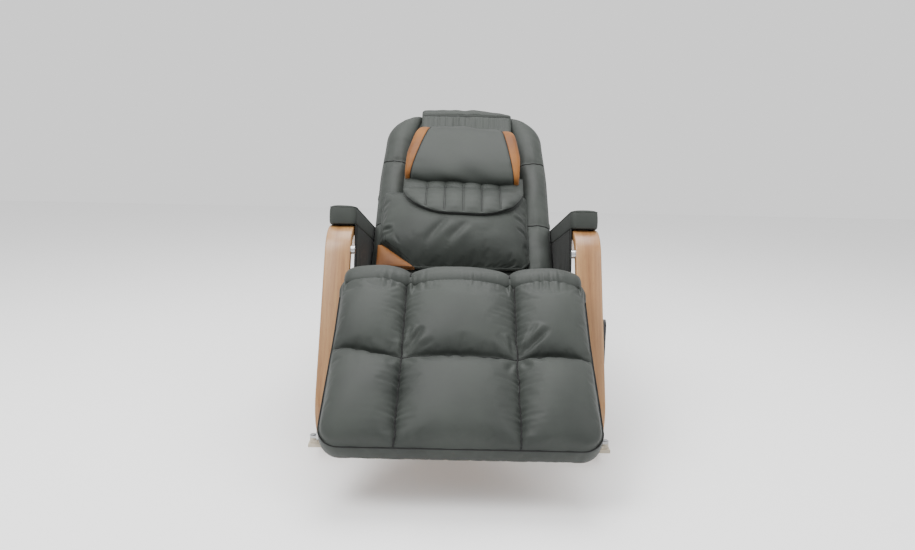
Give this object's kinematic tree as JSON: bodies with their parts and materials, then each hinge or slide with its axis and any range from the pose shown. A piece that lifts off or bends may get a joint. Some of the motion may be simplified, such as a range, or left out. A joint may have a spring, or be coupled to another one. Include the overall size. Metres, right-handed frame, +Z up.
{
  "type": "massage rocking chair",
  "caption": "Reclining rocking chair with bentwood side frames, tufted leatherette cushions, folding leg rest and built-in massagers",
  "frame": {"origin": "middle of the bounding box's bottom face, on the floor", "axes": "X across the chair, chair faces -Y, +Z up"},
  "size_m": [0.752, 1.4507, 0.8506],
  "materials": {
    "beech_wood": "clear lacquered bent beech",
    "board_wood": "raw plywood",
    "leatherette": "matte grained leatherette, a coated fabric, over foam",
    "dark_leatherette": "matte dark leatherette",
    "tan_leatherette": "matte tan leatherette",
    "black_steel": "black powder coat",
    "bright_steel": "zinc plated steel",
    "black_plastic": "moulded, fine texture",
    "pale_plastic": "moulded nylon",
    "red_plastic": "moulded, glossy"
  },
  "bodies": {
    "base": {"side_bow_left": "beech_wood", "side_bow_right": "beech_wood", "rear_post_left": "beech_wood", "rear_post_right": "beech_wood", "front_stretcher": "black_steel", "rear_stretcher": "black_steel", "seat_frame": "black_steel", "seat_board": "board_wood", "seat_cushion": "leatherette", "knee_arms": "black_steel", "knee_pins": "bright_steel", "recliner_seat_plates": "bright_steel", "recliner_pins": "bright_steel", "arm_pad_left": "leatherette", "arm_pad_right": "leatherette", "side_skirt_left": "dark_leatherette", "side_skirt_right": "dark_leatherette", "bow_bolt_caps": "bright_steel", "post_bolts": "bright_steel", "stop_foot_brackets": "bright_steel", "stop_foot_pins": "bright_steel", "control_box": "black_plastic", "control_box_lid": "black_plastic", "dc_inlet": "bright_steel", "seat_motor_case": "black_plastic", "spring_front_pin": "bright_steel", "gas_spring_cylinder": "black_steel", "shaft_bushes": "pale_plastic"},
    "backrest": {"back_frame": "black_steel", "recliner_back_plates": "bright_steel", "spring_rear_pin": "bright_steel", "back_rear_panel": "dark_leatherette", "back_middle_pad": "leatherette", "back_wing_left": "leatherette", "back_wing_right": "leatherette", "lumbar_cushion": "leatherette", "lumbar_accent": "tan_leatherette", "neck_apron": "leatherette", "head_pillow": "leatherette", "pillow_accents": "tan_leatherette", "head_flap": "leatherette", "back_side_tabs": "dark_leatherette", "neck_massager_case": "black_plastic", "lumbar_massager_case": "black_plastic"},
    "gas_spring_rod": {"gas_spring_rod": "bright_steel"},
    "legrest": {"leg_frame": "black_steel", "leg_board": "board_wood", "leg_cushion": "leatherette", "leg_motor_case": "black_plastic"},
    "release_lever": {"release_shaft": "bright_steel", "release_lever": "black_plastic"},
    "stop_foot_right": {"stop_foot_right": "pale_plastic"},
    "stop_foot_left": {"stop_foot_left": "pale_plastic"},
    "neck_head_left": {"neck_head_left": "pale_plastic"},
    "neck_head_right": {"neck_head_right": "pale_plastic"},
    "lumbar_head_left": {"lumbar_head_left": "pale_plastic"},
    "lumbar_head_right": {"lumbar_head_right": "pale_plastic"},
    "seat_motor_weight": {"seat_motor_weight": "bright_steel"},
    "leg_motor_weight": {"leg_motor_weight": "bright_steel"},
    "power_switch": {"power_switch": "red_plastic"}
  },
  "joints": [
    {"name": "backrest_recline", "type": "hinge", "parent": "base", "child": "backrest", "pos_m": [0, 0.09993, 0.32988], "axis": [1, 0, 0], "range_deg": [-12, 28]},
    {"name": "gas_spring_slide", "type": "slide", "parent": "base", "child": "gas_spring_rod", "axis": [0, 0.9655, 0.2605], "range_m": [-0.0162, 0.0362]},
    {"name": "legrest_lift", "type": "hinge", "parent": "base", "child": "legrest", "pos_m": [0, -0.39722, 0.39949], "axis": [-1, 0, 0], "range_deg": [0, 40]},
    {"name": "release_lever_pull", "type": "hinge", "parent": "base", "child": "release_lever", "pos_m": [0, -0.24019, 0.29283], "axis": [1, 0, 0], "range_deg": [0, 18], "stiffness_Nm_per_rad": 1.2},
    {"name": "stop_foot_right_turn", "type": "hinge", "parent": "base", "child": "stop_foot_right", "pos_m": [0.365, -0.35698, 0], "axis": [0, 0, 1], "range_deg": [0, 90]},
    {"name": "stop_foot_left_turn", "type": "hinge", "parent": "base", "child": "stop_foot_left", "pos_m": [-0.365, -0.35698, 0], "axis": [0, 0, -1], "range_deg": [0, 90]},
    {"name": "neck_head_left_turn", "type": "hinge", "parent": "backrest", "child": "neck_head_left", "pos_m": [-0.056, 0.45047, 0.62802], "axis": [0, -0.6691, 0.7431], "continuous": true},
    {"name": "neck_head_right_turn", "type": "hinge", "parent": "backrest", "child": "neck_head_right", "pos_m": [0.056, 0.45047, 0.62802], "axis": [0, -0.6691, 0.7431], "continuous": true},
    {"name": "lumbar_head_left_turn", "type": "hinge", "parent": "backrest", "child": "lumbar_head_left", "pos_m": [-0.056, 0.25874, 0.45538], "axis": [0, -0.6691, 0.7431], "continuous": true},
    {"name": "lumbar_head_right_turn", "type": "hinge", "parent": "backrest", "child": "lumbar_head_right", "pos_m": [0.056, 0.25874, 0.45538], "axis": [0, -0.6691, 0.7431], "continuous": true},
    {"name": "seat_motor_turn", "type": "hinge", "parent": "base", "child": "seat_motor_weight", "pos_m": [-0.11, -0.19904, 0.28436], "axis": [0, 0.225, 0.9744], "continuous": true},
    {"name": "leg_motor_turn", "type": "hinge", "parent": "legrest", "child": "leg_motor_weight", "pos_m": [0, -0.51851, 0.21558], "axis": [0, -0.6293, 0.7771], "continuous": true},
    {"name": "power_switch_rock", "type": "hinge", "parent": "base", "child": "power_switch", "pos_m": [0.15, -0.05951, 0.21971], "axis": [1, 0, 0], "range_deg": [-10, 10]}
  ],
  "couplings": [
    {"joint": "gas_spring_slide", "follows": "backrest_recline", "m_per_rad": 0.07267},
    {"joint": "neck_head_right_turn", "follows": "neck_head_left_turn", "ratio": -1},
    {"joint": "lumbar_head_right_turn", "follows": "lumbar_head_left_turn", "ratio": -1}
  ]
}
